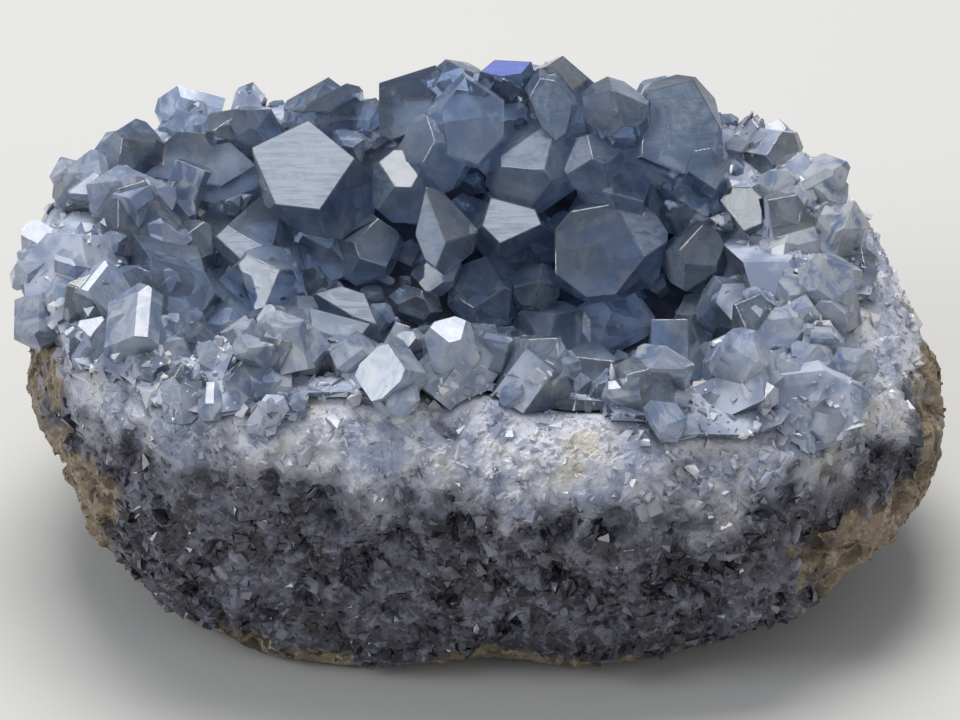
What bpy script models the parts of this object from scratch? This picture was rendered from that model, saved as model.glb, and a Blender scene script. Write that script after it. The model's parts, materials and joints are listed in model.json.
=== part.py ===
# Half of a celestine geode: a thick granular wall, and one crust of blue crystals grown in its hollow.
# Metres, +Z up, the low front towards -Y. The origin is on the flat that the piece rests on, under its
# middle. Sizes are in millimetres until they are multiplied by MM.

import math
import random

import bmesh
import bpy
from mathutils import Matrix, Vector, noise
from mathutils.bvhtree import BVHTree

MM = 0.001

# The wall, all round. Each station is a direction seen from above, in degrees from +X towards +Y, with
# the radii and heights of the wall there in millimetres, and how many steps the crust reaches over it.
STATIONS = (
    dict(at=0, foot=49, belly=89, waist=31, rim=73, mouth=56, crest=58, hollow=31, over=1.4),
    dict(at=30, foot=42, belly=81, waist=36, rim=74, mouth=55, crest=65, hollow=33, over=0.4),
    dict(at=60, foot=36, belly=65, waist=38, rim=61, mouth=45, crest=72, hollow=34, over=0.0),
    dict(at=90, foot=34, belly=56, waist=38, rim=52, mouth=39, crest=73, hollow=35, over=0.4),
    dict(at=120, foot=40, belly=64, waist=38, rim=59, mouth=44, crest=69, hollow=41, over=1.0),
    dict(at=150, foot=58, belly=88, waist=38, rim=85, mouth=64, crest=61, hollow=47, over=2.2),
    dict(at=180, foot=63, belly=84, waist=37, rim=81, mouth=66, crest=59, hollow=48, over=3.0),
    dict(at=210, foot=61, belly=77, waist=34, rim=71, mouth=55, crest=62, hollow=47, over=2.0),
    dict(at=240, foot=44, belly=59, waist=34, rim=53, mouth=38, crest=63, hollow=42, over=0.8),
    dict(at=270, foot=38, belly=53, waist=34, rim=46, mouth=32, crest=61, hollow=34, over=0.4),
    dict(at=300, foot=45, belly=62, waist=32, rim=54, mouth=38, crest=58, hollow=31, over=0.6),
    dict(at=330, foot=54, belly=83, waist=27, rim=66, mouth=49, crest=54, hollow=30, over=2.0),
)
MIDDLE = Vector((0.0, 3.0, 0.0)) * MM  # the wall's middle, seen from above
FLOOR_HEIGHT = 29.0  # bottom of the hollow above the resting face, before the crystals
ROUND_STEPS = 54
OUTER_STEPS = 13  # from the foot to the crest
INNER_STEPS = 7  # from the crest to the bottom of the hollow

# How the section bends between those sizes, as shares of the way out or in and of the way up or down.
UNDERCUT = ((0.42, 0.22), (0.86, 0.62))  # foot to belly, and resting face to waist
SHOULDER = (0.42, 0.55)  # belly to rim, and waist to crest
CREST_TOP = 0.55  # rim to mouth
RIM_DROP = 3.0  # how far the crest's outer and inner edges lie below its top
MOUTH_DROP = 4.5
BOWL = ((0.95, 0.42), (0.80, 0.82), (0.46, 1.0))  # of the mouth's radius, and crest to hollow

# Roughness of the broken outside: lumps as (size, height) in millimetres, and ledges on the front.
LUMPS = ((34.0, 4.0), (11.0, 2.6), (5.5, 1.2))
LUMPS_AT = Vector((3.1, 7.7, 1.9))  # where in the noise they are read
LEDGE_HEIGHT = 12.0
LEDGE_DEPTH = 1.5
LEDGE_SHIFT = 6.0  # how far they wander up and down, and over what length
LEDGE_WANDER = 22.0
BROW_DEPTH = 2.4  # the front bulges under the rim, is hollow half way down and has a lip at the foot
BROW_HEIGHT = 50.0
BROW_SPACING = 42.0
CREST_ROUGHNESS = 2.2
CREST_LUMP = 9.0  # length of its ups and downs
CALM_STEPS = 2  # steps below the crest over which the outside's roughness fades

# The crust of crystals.
RAGGED = 1.3  # how unevenly its edge runs over the wall, in steps
RAGGED_AT = Vector((0.0, 0.4, 2.6))
RAGGED_PACE = Vector((0.45, 0.0, 0.0))
GAP = 0.45  # between the wall and the crust
LINING = 3.6  # thickness of the grown-together roots
LINING_AT_CREST = 1.6
LINING_THINS = (0.6, 0.9)  # shares of the wall's height between which it thins
LINING_SUNK = 1.6  # how far it reaches below the wall's surface, before it is trimmed
LINING_UNEVENNESS = 0.8
LINING_PACE = 0.37
ROOT_DEPTH = 5.0  # how far a crystal starts below its root, before it is trimmed
LARGE_SUNK = 1.0  # how far the root is below the lining's face
FILLER_SUNK = 1.5
FILLER_TRIES = 1900
FILLER_SPACING = 0.95  # 1.0 where two neighbours only just touch
FILLER_SIZES = (7.0, 12.5)
FILLER_TALL = (0.55, 1.0)  # its height and its thickness, as shares of its size
FILLER_THICK = (0.65, 0.9)
FILLER_LEAN = 0.75
FILLER_FACES = Vector((0.0, -0.5, 0.5))  # the way that broad faces tend to look
FILLER_SEED = 11
OUTSIDE_SIZE = 0.68  # of those outside the crest, which also leave this share of it bare
OUTSIDE_BARE = 0.3
FRONT_BARE = 0.75
FRONT_FROM = -20.0  # the front is what lies before this
FILLER_TOP = 92.0  # no filler's tip is seen above this, in the view that the layout is given in
FILLER_REACH = 81.0  # nor further than this to either side

# Celestine's angles: the dome faces and the tip's faces, measured from the crystal's own axes.
DOME_FROM_BROAD = math.radians(52.1)
PRISM_FROM_LENGTH = math.radians(38.0)
TIP_DOME_FROM_LENGTH = math.radians(50.6)
BODY_TAPER = math.radians(4.0)
REAR_RISE = math.radians(28.0)  # how the rear of a crystal that looks in over the hollow leans in
REAR_INSIDE = 3.0  # how far inside the wall's outer edge it starts, at the height of that edge

# How one crystal differs from the next, as the least and most share of the size that it belongs to.
DOME_WIDTH = (0.86, 1.0)
DOME_THICKNESS = (0.35, 0.75)
DOME_UNEVENNESS = (0.92, 1.06)
PRISM_EDGE = (0.0, 0.13)  # how far out the tip's faces start
TIP_DOME_EDGE = (0.04, 0.22)

BLOCK_SIZE = 120.0  # of the blocks that crystals are cut from, larger than any crystal
FILLER_BLOCK_SIZE = 60.0
CUT_TOUCH = 1e-4
CUT_MERGE = 0.05

# The room that a large crystal takes from the small ones: its radius as a share of the crystal's width,
# and how far behind the shown face its middle is.
FACED_ROOM = 0.55
FACED_ROOM_DEPTH = 0.7
LONG_ROOM = 0.5

# The crystals are laid out as the piece is seen from the front and this much above. "across" is to the
# right of the origin and "up" is above it in that view, both in millimetres.
VIEW_RISE = math.radians(35.0)
VIEW_FROM = Vector((0.0, -math.cos(VIEW_RISE), math.sin(VIEW_RISE)))
VIEW_UP = Vector((0.0, math.sin(VIEW_RISE), math.cos(VIEW_RISE)))

# The large crystals, each by the face that it shows: the corners of that face as (across, up), the way
# it looks, and how far back its middle is. A slope is how much the sides widen below the face, in degrees,
# from the first corner on. A body limits how wide the crystal gets. It grows the way it looks, or as given.
SKY = (0.0, -0.33, 0.94)
FACED_CRYSTALS = (
    dict(
        face=((-33, 82.5), (-24, 75), (-30.5, 65), (-39, 66), (-44, 77)),
        looks=SKY, back=24, deep=34, slopes=(24, 12, 9, 34, 28),
        body=((-44, 77), (-42, 81), (-35, 84.5), (-26, 82), (-19.5, 77), (-19.5, 63), (-26, 59),
            (-35, 61), (-41, 66)),
    ),
    dict(
        face=((-61, 81), (-50, 80), (-43.5, 74), (-50, 70), (-65, 72)),
        looks=(-0.15, -0.45, 0.88), back=36, deep=22, slopes=(30, 18, 8, 5, 22),
        body=((-64, 81), (-52, 81.5), (-42.5, 76), (-42.5, 70), (-53, 66), (-60, 66.5), (-66, 71)),
    ),
    dict(
        face=((-69, 69), (-64, 70.5), (-57.5, 62), (-60, 57), (-69, 56)),
        looks=(0.12, -0.78, 0.6), back=16, deep=24, slopes=(32, 16, 18, 8, 38),
        body=((-74, 68), (-68, 72), (-61, 71), (-55.5, 61), (-57, 56), (-67, 54), (-72, 58)),
    ),
    dict(
        face=((-87, 55), (-82, 60.5), (-75.5, 60), (-73.5, 50), (-79, 44), (-86, 46.5)),
        looks=(-0.3, -0.68, 0.66), back=2, deep=16, slopes=(12, 10, 16, 8, 6, 4),
    ),
    dict(
        face=((-69.5, 52), (-64.5, 54), (-60, 52), (-60, 44.5), (-64.5, 41), (-70.5, 43)),
        looks=(-0.1, -0.66, 0.74), back=-4, deep=18, slopes=(16, 14, 10, 8, 6, 14),
    ),
    dict(
        face=((-62, 55.5), (-52, 53), (-50, 49), (-54.5, 42.5), (-59, 42.5), (-62, 49)),
        looks=(0.15, -0.78, 0.58), back=-3, deep=20, slopes=(20, 10, 10, 6, 6, 10),
    ),
    dict(
        face=((-48.5, 62), (-40, 57), (-40, 54), (-44.5, 54.5), (-50.5, 60)),
        looks=(-0.05, -0.36, 0.93), back=12, deep=30, slopes=(63, 14, 4, 12, 25),
        body=((-51, 66), (-43, 71), (-35, 61), (-35, 55), (-39, 50.5), (-45, 51), (-51, 58)),
    ),
    dict(
        face=((-39, 88.5), (-31.5, 91.5), (-26.5, 91.5), (-25, 88), (-29, 84.5), (-37, 84.5)),
        looks=(0.05, -0.82, 0.56), back=44, deep=18, slopes=(34, 24, 30, 16, 8, 24),
        body=((-39.5, 88.5), (-38, 91), (-31, 92.5), (-26, 92.5), (-22.5, 89), (-20, 79), (-35, 77)),
    ),
    dict(
        face=((-7.5, 84.5), (-3, 91), (4.5, 86), (4.5, 79.5), (-0.5, 74), (-6, 76)),
        looks=(0.06, -0.8, 0.6), back=34, deep=26, slopes=(20, 18, 8, 6, 8, 30),
        body=((-11.5, 85), (-3, 92), (5, 86.5), (5, 79), (0, 73), (-6.5, 74.5), (-11, 80)),
    ),
    dict(
        face=((-19.5, 90.5), (-14, 95), (-9.5, 95), (-7, 90.5), (-12, 81), (-17, 79), (-19.5, 80)),
        looks=(-0.15, -0.8, 0.55), back=42, deep=14, slopes=(4, -4, -6, 2, 8, 6, 6),
    ),
    dict(
        face=((0, 92), (3.5, 95), (8, 95.5), (10, 94), (8, 91.5), (4, 91)),
        looks=(-0.1, -0.25, 0.96), back=45, deep=12, slopes=(8, 0, 0, 6, 12, 12),
    ),
    dict(
        face=((9.5, 87), (11.5, 90.5), (14.5, 90), (17.5, 85), (16.5, 80), (14.5, 78.5), (12, 81)),
        looks=(-0.16, -0.84, 0.5), back=36, deep=24, slopes=(26, 34, 18, 12, 8, 8, 12),
        body=((7.5, 88), (11, 93), (17, 91.5), (19.5, 84), (17.5, 79), (14.5, 77.5), (10.5, 80)),
    ),
    dict(
        face=((13, 93), (16, 95), (22, 90), (25, 85), (24, 81.5), (18, 80), (13, 84)),
        looks=(0.35, -0.76, 0.52), back=40, deep=16, slopes=(-4, -2, 2, 8, 4, 6, 4),
    ),
    dict(
        face=((32, 88), (41, 90), (46, 81), (45, 74.5), (39, 72), (31, 75.5)),
        looks=(-0.2, -0.78, 0.58), back=31, deep=30, slopes=(22, 12, 8, 6, 12, 26),
        body=((33, 90.5), (38, 92), (42, 91.5), (45.5, 88), (47, 76), (45, 70), (38, 69), (31, 72),
            (28, 77), (28.5, 84.5)),
    ),
    dict(
        face=((41, 76.5), (44, 77), (48, 74), (45, 69), (40, 72.5)),
        looks=(0.1, -0.6, 0.78), back=25, deep=20, slopes=(10, 6, 4, 4, 6),
    ),
    dict(
        face=((14.5, 61.5), (17.5, 65), (26, 66.5), (31.5, 56), (26, 49), (20.5, 48.5), (14.5, 53)),
        looks=(-0.14, -0.72, 0.68), back=20, deep=34, slopes=(14, 22, 54, 12, 6, 6, 8),
        body=((13.5, 61.5), (17, 66), (22, 68), (29, 68), (34, 65), (36.5, 61), (35, 51), (26, 47.5),
            (21, 47), (14, 50)),
    ),
    dict(
        face=((0.5, 62.5), (2.5, 67.5), (10.5, 65.5), (12, 62.5), (4, 58.5)),
        looks=(0.04, -0.38, 0.92), grows=(0.0, -0.78, 0.62), back=22, deep=26, slopes=(8, 10, 8, 6, 8),
    ),
    dict(
        face=((-10.5, 69.5), (-6.5, 59), (-8.5, 54), (-10.5, 55.5), (-12.5, 60.5)),
        looks=(-0.42, -0.56, 0.7), back=18, deep=30, slopes=(32, 14, 6, 10, 8),
        body=((-10.5, 70), (-7, 69), (0, 61.5), (-1, 57), (-7, 52.5), (-12, 55), (-12.5, 61)),
    ),
    dict(
        face=((-12.5, 37), (-8, 44), (-1.5, 43), (-0.5, 38), (-3.5, 33.5), (-10, 36)),
        looks=(0.05, -0.7, 0.72), grows=(0.0, 0.1, 0.99), back=-26, deep=18, slopes=(14, 10, 6, 4, 2, 8),
    ),
    dict(
        face=((-18, 39.5), (-16, 43.5), (-13, 42.5), (-12.5, 38.5), (-13.5, 36.5), (-18.5, 36.5)),
        looks=(-0.05, -0.62, 0.78), grows=(0.0, 0.1, 0.99), back=-26, deep=18, slopes=(6, 6, 6, 2, 2, 4),
    ),
    dict(
        face=((-31.5, 49), (-26.5, 50.5), (-22, 49), (-19.5, 43), (-24, 44.5)),
        looks=SKY, back=4, deep=16, slopes=(14, 12, 8, 12, 12),
    ),
    dict(
        face=((-49, 41.5), (-44, 45), (-42.5, 43), (-43, 40.5), (-47, 40)),
        looks=SKY, back=-14, deep=16, slopes=(18, 10, 8, 10, 10),
    ),
    dict(
        face=((-39.5, 40), (-31, 41), (-23.5, 39), (-25, 31.5), (-32.5, 31), (-39, 33)),
        looks=(-0.1, -0.84, 0.48), back=-29, deep=10, slopes=(24, 20, 8, 4, 4, 10),
    ),
    dict(
        face=((34.5, 29), (52, 37), (52.5, 29), (46, 26), (36, 26)),
        looks=(-0.3, -0.6, 0.74), back=-32, deep=13, slopes=(20, 10, 4, 4, 4),
    ),
    dict(
        face=((54, 29), (56, 33.5), (64, 34.5), (71, 30.5), (71, 25), (66, 20.5), (61, 19), (55, 22.5)),
        looks=(0.1, -0.84, 0.54), back=-30, deep=13, slopes=(10, 22, 16, 8, 6, 4, 4, 6),
    ),
    dict(
        face=((50, 55), (58.5, 55), (60.5, 50), (58.5, 48), (52, 48)),
        looks=(-0.3, -0.72, 0.62), back=3, deep=14, slopes=(24, 12, 6, 6, 26),
    ),
    dict(
        face=((61, 55.5), (67.5, 54), (67, 49.5), (64, 49), (61, 51.5)),
        looks=(0.2, -0.7, 0.68), back=2, deep=18, slopes=(20, 12, 8, 6, 8),
    ),
    dict(
        face=((46, 67), (48, 69.5), (52, 69.5), (54, 67.5), (54, 62.5), (50.5, 61)),
        looks=(-0.4, -0.7, 0.58), back=21, deep=22, slopes=(12, 16, 12, 6, 8, 8),
    ),
    dict(
        face=((55, 67), (60.5, 68), (65, 62), (65, 59), (56, 59.5)),
        looks=(0.1, -0.7, 0.7), back=16, deep=18, slopes=(22, 10, 8, 6, 10),
    ),
    dict(
        face=((31, 44), (39, 44), (37.5, 35.5), (32, 35.5)),
        looks=(-0.15, -0.56, 0.8), grows=(-0.1, 0.25, 0.95), back=-14, deep=24, slopes=(8, 14, 4, 10),
    ),
    dict(
        face=((56.5, 42), (64.5, 41.5), (65, 36), (57, 34.5)),
        looks=(0.15, -0.4, 0.9), back=-13, deep=16, slopes=(12, 14, 10, 12),
    ),
)

# More of them, by where the crystal's middle is seen and its sizes. "points" is the way that its length
# runs, and "faces" the way that its broad face looks.
LONG_CRYSTALS = (
    dict(across=-67, up=75, wide=12, thick=10, long=9, points=(-0.3, -0.3, 0.9), faces=(0.3, -0.8, 0.3)),
    dict(across=-76, up=68, wide=13, thick=10, long=8, points=(-0.3, -0.4, 0.8),
        faces=(-0.1, -0.9, -0.4)),
    dict(across=-23, up=56, wide=15, thick=13, long=13, points=(-0.1, -0.7, 0.6),
        faces=(0.3, -0.6, -0.7)),
    dict(across=-46, up=80, wide=14, thick=10, long=8, points=(0.2, 0.1, 0.9), faces=(0.1, -0.8, 0.5)),
    dict(across=-5, up=89, wide=12, thick=9, long=7, points=(-0.2, 0.1, 0.9), faces=(0.3, -0.9, 0.1)),
    dict(across=27, up=84, wide=14, thick=11, long=15, points=(-0.15, -0.4, 0.9),
        faces=(-0.6, -0.7, 0.3)),
    dict(across=27, up=70, wide=15, thick=12, long=12, points=(-0.2, -0.7, 0.5), faces=(0.2, -0.5, 0.8)),
    dict(across=-15, up=71, wide=14, thick=12, long=12, points=(0.1, -0.8, 0.5), faces=(0.6, -0.5, 0.3)),
    dict(across=-9, up=77, wide=13, thick=12, long=10, points=(-0.2, -0.8, 0.4), faces=(0.2, -0.4, 0.9)),
    dict(across=12, up=74, wide=20, thick=15, long=12, points=(0.2, -0.8, 0.3), faces=(-0.3, -0.4, 0.9)),
    dict(across=22, up=75, wide=12, thick=10, long=12, points=(0.1, -0.8, 0.5), faces=(-0.5, -0.5, 0.6)),
    dict(across=43, up=57, wide=14, thick=12, long=11, points=(-0.5, -0.6, 0.5), faces=(-0.6, 0.3, 0.7)),
    dict(across=50, up=46, wide=13, thick=10, long=10, points=(-0.4, -0.4, 0.8), faces=(-0.5, -0.8, 0.1)),
    dict(across=1, up=48, wide=16, thick=12, long=12, points=(0.5, -0.5, 0.6), faces=(-0.5, -0.3, 0.8)),
    dict(across=10, up=49, wide=10, thick=9, long=13, points=(0.2, -0.6, 0.8), faces=(0.6, -0.6, -0.3)),
    dict(across=15, up=41, wide=15, thick=11, long=9, points=(0.3, -0.2, 0.9), faces=(-0.4, -0.5, 0.7)),
    dict(across=26, up=43, wide=14, thick=12, long=9, points=(-0.1, -0.4, 0.9), faces=(0.3, -0.8, 0.3)),
    dict(across=23, up=31, wide=15, thick=11, long=8, points=(0.5, -0.2, 0.8), faces=(-0.1, -0.7, 0.7)),
    dict(across=6, up=36, wide=12, thick=10, long=9, points=(0.1, 0.0, 0.95), faces=(-0.3, -0.8, 0.3)),
    dict(across=-40, up=49, wide=14, thick=11, long=11, points=(0.4, -0.5, 0.7), faces=(-0.4, -0.7, 0.5)),
    dict(across=-30, up=55, wide=11, thick=10, long=9, points=(0.1, -0.6, 0.7), faces=(-0.5, -0.6, 0.4)),
    dict(across=44, up=42, wide=15, thick=11, long=9, points=(-0.5, -0.3, 0.8), faces=(0.2, -0.6, 0.7)),
)

ROCK_COLOUR = (0.42, 0.42, 0.46, 1.0)
CRYSTAL_COLOUR = (0.45, 0.56, 0.74, 1.0)


def blend(a, b, share):
    return a + (b - a) * share


def smooth_through(before, start, end, after, share):
    """Point between start and end on the curve that also heads for the values before and after them."""
    bend = 2 * before - 5 * start + 4 * end - after
    turn = 3 * start - before - 3 * end + after
    return start + 0.5 * share * ((end - before) + share * (bend + share * turn))


def wall_size(name, azimuth):
    """One of the stations' sizes at any azimuth, in degrees."""
    step = STATIONS[1]["at"]
    whole, share = divmod(azimuth % 360 / step, 1)
    four = [STATIONS[(int(whole) + k) % len(STATIONS)][name] for k in (-1, 0, 1, 2)]
    return smooth_through(*four, share)


def profile_points(azimuth):
    """The wall's section at an azimuth, as radius and height: foot to crest, then crest to hollow floor."""
    names = "foot", "belly", "waist", "rim", "mouth", "crest", "hollow"
    foot, belly, waist, rim, mouth, crest, hollow = (wall_size(name, azimuth) for name in names)
    outer = [(foot, 0.0)]
    outer += [(blend(foot, belly, out), waist * up) for out, up in UNDERCUT]
    outer += [
        (belly, waist),
        (blend(belly, rim, SHOULDER[0]), blend(waist, crest, SHOULDER[1])),
        (rim, crest - RIM_DROP),
        (blend(rim, mouth, CREST_TOP), crest),
    ]
    inner = [(mouth, crest - MOUTH_DROP)]
    inner += [(mouth * share, blend(crest, hollow, down)) for share, down in BOWL]
    inner += [(0.0, FLOOR_HEIGHT)]
    return [Vector(p) for p in outer], [Vector(p) for p in inner]


def along(points, share, before=None, after=None):
    """Point at this share of the way along a smooth curve through the points."""
    before = before or points[0]
    after = after or points[-1]
    whole = min(int(share * (len(points) - 1)), len(points) - 2)
    four = [([before] + points + [after])[whole + k] for k in range(4)]
    return smooth_through(*four, share * (len(points) - 1) - whole)


def section(azimuth):
    """The section's points, foot first and hollow floor last, without the floor's own point."""
    outer, inner = profile_points(azimuth)
    inner = [outer[-1]] + inner
    run = [along(outer, i / OUTER_STEPS, after=inner[1]) for i in range(OUTER_STEPS + 1)]
    run += [along(inner, i / INNER_STEPS, before=outer[-2]) for i in range(1, INNER_STEPS)]
    return run


def clamped(share):
    return max(0.0, min(1.0, share))


def there_and_back(value):
    """Runs from 1 to 0 and back as the value grows by 1."""
    return abs(value % 1.0 - 0.5) * 2.0


def roughened(place, outward, step):
    """The point pushed in or out as broken rock is. The hollow keeps its shape, and the base stays flat."""
    outside = 1.0 - clamped((step - OUTER_STEPS + CALM_STEPS) / CALM_STEPS)
    push = 0.0
    for size, height in LUMPS:
        push += height * noise.noise(place / size + LUMPS_AT)
    shift = LEDGE_SHIFT * noise.noise(place / LEDGE_WANDER)
    ledge = there_and_back((place.z + shift) / LEDGE_HEIGHT)
    brow = math.cos(2 * math.pi * (place.z - BROW_HEIGHT) / BROW_SPACING)
    push += (LEDGE_DEPTH * (ledge - 0.5) + BROW_DEPTH * brow) * max(0.0, -outward.y)
    moved = place + outward * push * outside
    if OUTER_STEPS - CALM_STEPS <= step <= OUTER_STEPS + 1:
        moved.z += CREST_ROUGHNESS * noise.noise(place / CREST_LUMP)
    return moved


def wall_mesh():
    """The wall as one closed bmesh in metres. The faces that the crust grows on have material index 1."""
    bm = bmesh.new()
    last_fine = OUTER_STEPS + 1
    rings = []
    for k in range(ROUND_STEPS):
        azimuth = 360 * k / ROUND_STEPS
        outward = Matrix.Rotation(math.radians(azimuth), 3, "Z").col[0]
        points = section(azimuth) if k % 2 == 0 else section(azimuth)[: last_fine + 1]
        ring = []
        for step, (radius, height) in enumerate(points):
            place = roughened(outward * radius + Vector((0, 0, height)), outward, step)
            ring.append(bm.verts.new(place * MM + MIDDLE))
        rings.append(ring)
    under = bm.verts.new(MIDDLE)
    bottom = bm.verts.new(MIDDLE + Vector((0, 0, FLOOR_HEIGHT * MM)))
    for k, ring in enumerate(rings):
        azimuth = 360 * (k + 0.5) / ROUND_STEPS
        ragged = RAGGED * noise.noise(RAGGED_AT + RAGGED_PACE * k)
        crust_starts = OUTER_STEPS - max(0, round(wall_size("over", azimuth) + ragged))
        following = rings[(k + 1) % ROUND_STEPS]
        bm.faces.new((under, following[0], ring[0]))
        for step in range(last_fine):
            face = bm.faces.new((ring[step], following[step], following[step + 1], ring[step + 1]))
            face.material_index = int(step >= crust_starts)
    for k in range(0, ROUND_STEPS, 2):
        ring, between, following = rings[k], rings[k + 1], rings[(k + 2) % ROUND_STEPS]
        step = last_fine
        top = ring[step], between[step], following[step]
        inside = [top + (following[step + 1], ring[step + 1])]
        for step in range(last_fine + 1, len(ring) - 1):
            inside.append((ring[step], following[step], following[step + 1], ring[step + 1]))
        inside.append((ring[-1], following[-1], bottom))
        for corners in inside:
            bm.faces.new(corners).material_index = 1
    bmesh.ops.recalc_face_normals(bm, faces=bm.faces)
    bmesh.ops.triangulate(bm, faces=bm.faces)
    bm.normal_update()
    return bm


def grown(bm, distance):
    """A copy of a closed bmesh with every corner moved out along its normal."""
    bigger = bm.copy()
    bigger.normal_update()
    moves = [(v, v.normal.copy()) for v in bigger.verts]
    for v, normal in moves:
        v.co += normal * distance
    return bigger


def lining_mesh(wall):
    """The grown-together roots: a thick skin over the wall's faces that the crust grows on."""
    bm = bmesh.new()
    top, under = {}, {}
    highest = max(v.co.z for v in wall.verts)
    for face in wall.faces:
        if face.material_index != 1:
            continue
        for v in face.verts:
            if v in top:
                continue
            fade = clamped((v.co.z / highest - LINING_THINS[0]) / (LINING_THINS[1] - LINING_THINS[0]))
            thickness = blend(LINING, LINING_AT_CREST, fade)
            uneven = noise.noise_vector(v.co / MM * LINING_PACE) * LINING_UNEVENNESS * MM
            top[v] = bm.verts.new(v.co + v.normal * thickness * MM + uneven)
            under[v] = bm.verts.new(v.co - v.normal * LINING_SUNK * MM + uneven)
        bm.faces.new([top[v] for v in face.verts])
        bm.faces.new([under[v] for v in reversed(face.verts)])
    edge = [e for e in wall.edges if {f.material_index for f in e.link_faces} == {0, 1}]
    for e in edge:
        a, b = e.verts
        bm.faces.new((top[a], top[b], under[b], under[a]))
    bmesh.ops.recalc_face_normals(bm, faces=bm.faces)
    return bm


def crystal_frame(points, faces):
    """Rotation whose X is the crystal's length, Z its broad face and Y its width."""
    length = Vector(points).normalized()
    broad = Vector(faces)
    broad = (broad - length * broad.dot(length)).normalized()
    width = broad.cross(length)
    return Matrix((length, width, broad)).transposed()


def long_crystal_planes(wide, thick, tip, rng):
    """A celestine crystal's faces, as (normal, distance) in its own frame, in millimetres."""
    planes = [((-1, 0, 0), ROOT_DEPTH)]
    dome = math.sin(DOME_FROM_BROAD), math.cos(DOME_FROM_BROAD)
    prism = math.cos(PRISM_FROM_LENGTH), math.sin(PRISM_FROM_LENGTH)
    point = math.cos(TIP_DOME_FROM_LENGTH), math.sin(TIP_DOME_FROM_LENGTH)
    reach = dome[0] * wide / 2 * rng.uniform(*DOME_WIDTH)
    reach += dome[1] * thick / 2 * rng.uniform(*DOME_THICKNESS)
    for side in (-1, 1):
        planes.append(((0, 0, side), thick / 2))
        planes.append(((0, side, 0), wide / 2))
        for end in (-1, 1):
            distance = reach * rng.uniform(*DOME_UNEVENNESS)
            planes.append(((0, side * dome[0], end * dome[1]), distance))
        distance = tip * prism[0] + wide * rng.uniform(*PRISM_EDGE)
        planes.append(((prism[0], side * prism[1], 0), distance))
        distance = tip * point[0] + thick * rng.uniform(*TIP_DOME_EDGE)
        planes.append(((point[0], 0, side * point[1]), distance))
    return planes


def cut_block(planes, middle=Vector(), size=BLOCK_SIZE):
    """The solid inside all of these planes, as a closed bmesh in the planes' own units."""
    bm = bmesh.new()
    bmesh.ops.create_cube(bm, size=size, matrix=Matrix.Translation(middle))
    for normal, distance in planes:
        cut = bmesh.ops.bisect_plane(
            bm,
            geom=bm.verts[:] + bm.edges[:] + bm.faces[:],
            dist=CUT_TOUCH,
            plane_co=Vector(normal) * distance,
            plane_no=Vector(normal),
            clear_outer=True,
        )
        edges = [g for g in cut["geom_cut"] if isinstance(g, bmesh.types.BMEdge)]
        if edges:
            bmesh.ops.edgeloop_fill(bm, edges=edges)
    bmesh.ops.remove_doubles(bm, verts=bm.verts, dist=CUT_MERGE)
    bmesh.ops.recalc_face_normals(bm, faces=bm.faces)
    return bm


def placed(bm, root, frame):
    """The crystal with its root at a place in metres."""
    bm.transform(Matrix.Translation(root) @ frame.to_4x4() @ Matrix.Scale(MM, 4))
    return bm


def edges_outward(corners, along):
    """For each edge of a flat outline: its first corner, and the way out from it, square to "along"."""
    middle = sum(corners, Vector()) / len(corners)
    for corner, following in zip(corners, corners[1:] + corners[:1]):
        out = (following - corner).cross(along).normalized()
        yield corner, out if out.dot(corner - middle) > 0 else -out


def in_view(across, up):
    """The point of the view's plane through the origin at (across, up), in millimetres."""
    return Vector((across, 0, 0)) + VIEW_UP * up


def rear_plane(root):
    """The face that ends a crystal over the wall's crest, on the side away from the hollow."""
    outward = Vector((root.x, root.y - MIDDLE.y / MM, 0.0)).normalized()
    azimuth = math.degrees(math.atan2(outward.y, outward.x))
    edge = MIDDLE / MM + outward * (wall_size("rim", azimuth) - REAR_INSIDE)
    edge.z = wall_size("crest", azimuth) - RIM_DROP
    rear = outward * math.cos(REAR_RISE) + Vector((0, 0, math.sin(REAR_RISE)))
    return outward, (rear, rear.dot(edge))


def faced_crystal_planes(spec):
    """A crystal's faces as (normal, distance) in millimetres, and the middle of the face that it shows."""
    looks = Vector(spec["looks"]).normalized()
    flat = [in_view(*corner) for corner in spec["face"]]
    middle = sum(flat, Vector()) / len(flat)
    middle += VIEW_FROM * ((spec["back"] - middle.y) / VIEW_FROM.y)
    steepness = VIEW_FROM.dot(looks)
    corners = [p + VIEW_FROM * ((middle - p).dot(looks) / steepness) for p in flat]
    grows = Vector(spec.get("grows", spec["looks"])).normalized()
    planes = [(looks, looks.dot(middle)), (-grows, spec["deep"] - grows.dot(middle))]
    for (corner, out), slope in zip(edges_outward(corners, grows), spec["slopes"]):
        side = out * math.cos(math.radians(slope)) + grows * math.sin(math.radians(slope))
        planes.append((side, side.dot(corner)))
    if "body" in spec:
        depth = VIEW_FROM * middle.dot(VIEW_FROM)
        body = [in_view(*corner) + depth for corner in spec["body"]]
        for corner, out in edges_outward(body, VIEW_FROM):
            side = (out - VIEW_FROM * math.tan(BODY_TAPER)).normalized()
            planes.append((side, side.dot(corner)))
    outward, rear = rear_plane(middle - grows * spec["deep"])
    if looks.dot(outward) < 0:
        planes.append(rear)
    return planes, middle


def seen_on(tree, across, up):
    """Where the view's ray at (across, up), or the next one below that isn't clear of it, meets the wall."""
    place = None
    while place is None:
        start = Vector((across * MM, 0, 0)) + VIEW_UP * up * MM + VIEW_FROM
        place, normal, _, _ = tree.ray_cast(start, -VIEW_FROM)
        up -= 1.0
    return place, normal


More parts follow.
